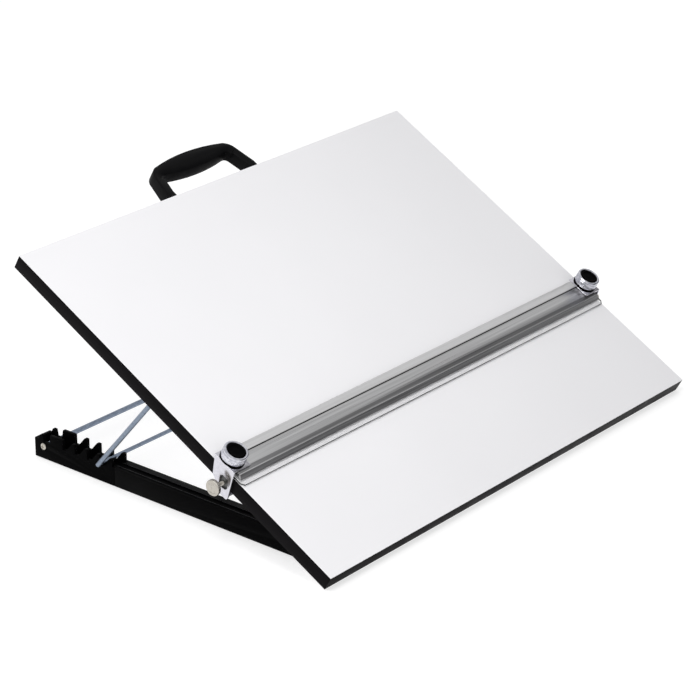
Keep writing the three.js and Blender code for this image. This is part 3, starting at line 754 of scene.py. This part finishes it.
def makeRailScrew(side, values):  # domed head with a cross recess, screwed into the spreader's end
    low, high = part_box("rail_end_screw_" + side)
    sign = sides[side]
    middle = (low + high) / 2
    outer = (low.x if sign < 0 else high.x, middle.y, middle.z)
    length = high.x - low.x
    radius, height, shank = values["radius"], values["height"], values["shank"]
    screw = spinProfile([(0, 0), (1.6 * mm, 0), (2.8 * mm, 0.2 * mm), (3.6 * mm, 0.6 * mm),
                         (radius, 1.1 * mm), (radius, height), (shank, height), (shank, length),
                         (0, length)], 48)
    axis = (-sign, 0, 0)
    standOn(screw, outer, axis)
    crossRecess(screw, outer, axis, values["slot"], values["sunk"])
    own(settle(screw), "railScrew_" + side, "stand", "nickel", finish["nickel"], "rail_end_screw_" + side)


makeStraightRod("spreader_rod", "stand", "spreaderRod", rodValues["spreader"])
makeStraightRod("prop_crossbar", "prop", "propCrossbar", rodValues["crossbar"], boardTurn)
for side in sides:
    makePropArm(side, propValues)
    makeRailScrew(side, railScrewValues)
print("rods made")


# Floor and light

studio = {"floor": (0.5, 0.5, 0.5), "floorSize": 30, "glow": 0.62, "sky": 0.82, "shade": 0.12,
          "shadeFrom": (0.74, -0.62, 0.26), "shadeRim": 0.72, "shadeCore": 0.9}
lights = {
    "keyLight": {"place": (-0.62, -0.45, 1.45), "target": (-0.05, 0, 0.15), "size": 0.6, "power": 7.4},
    "fillLight": {"place": (-1.8, -2.0, 1.0), "target": (0, 0, 0.1), "size": 1.2, "power": 1.5},
}


def makeStudio(values):
    clearSelection()
    bpy.ops.mesh.primitive_plane_add(size=values["floorSize"], location=(0, 0, 0))
    floor = bpy.context.object
    floor.name = "floor"
    look, nodes, links, shader = newLook("floorPaint", values["floor"], 0.9)
    shader.inputs["Emission Color"].default_value = (1, 1, 1, 1)
    shader.inputs["Emission Strength"].default_value = values["glow"]
    floor.data.materials.append(look)
    world = bpy.data.worlds.new("studio")
    bpy.context.scene.world = world
    world.use_nodes = True
    nodes, links = world.node_tree.nodes, world.node_tree.links
    toward = nodes.new("ShaderNodeVectorMath")  # how near a direction lies to the dark corner
    toward.operation = "DOT_PRODUCT"
    toward.inputs[1].default_value = values["shadeFrom"]
    ramp = nodes.new("ShaderNodeValToRGB")
    ramp.color_ramp.elements[0].position = values["shadeRim"]
    ramp.color_ramp.elements[0].color = (1, 1, 1, 1)
    ramp.color_ramp.elements[1].position = values["shadeCore"]
    ramp.color_ramp.elements[1].color = (*[values["shade"]] * 3, 1)
    links.new(nodes.new("ShaderNodeTexCoord").outputs["Generated"], toward.inputs[0])
    links.new(toward.outputs["Value"], ramp.inputs["Fac"])
    links.new(ramp.outputs["Color"], nodes["Background"].inputs["Color"])
    nodes["Background"].inputs["Strength"].default_value = values["sky"]
    bpy.context.scene.view_settings.view_transform = "Standard"


def addLight(name, values):
    clearSelection()
    aim = Vector(values["target"]) - Vector(values["place"])
    turn = aim.to_track_quat("-Z", "Y").to_euler()
    bpy.ops.object.light_add(type="AREA", location=values["place"], rotation=turn)
    lamp = bpy.context.object
    lamp.name = name
    lamp.data.size = values["size"]
    lamp.data.energy = values["power"]


makeStudio(studio)
for name, values in lights.items():
    addLight(name, values)
print("studio made")
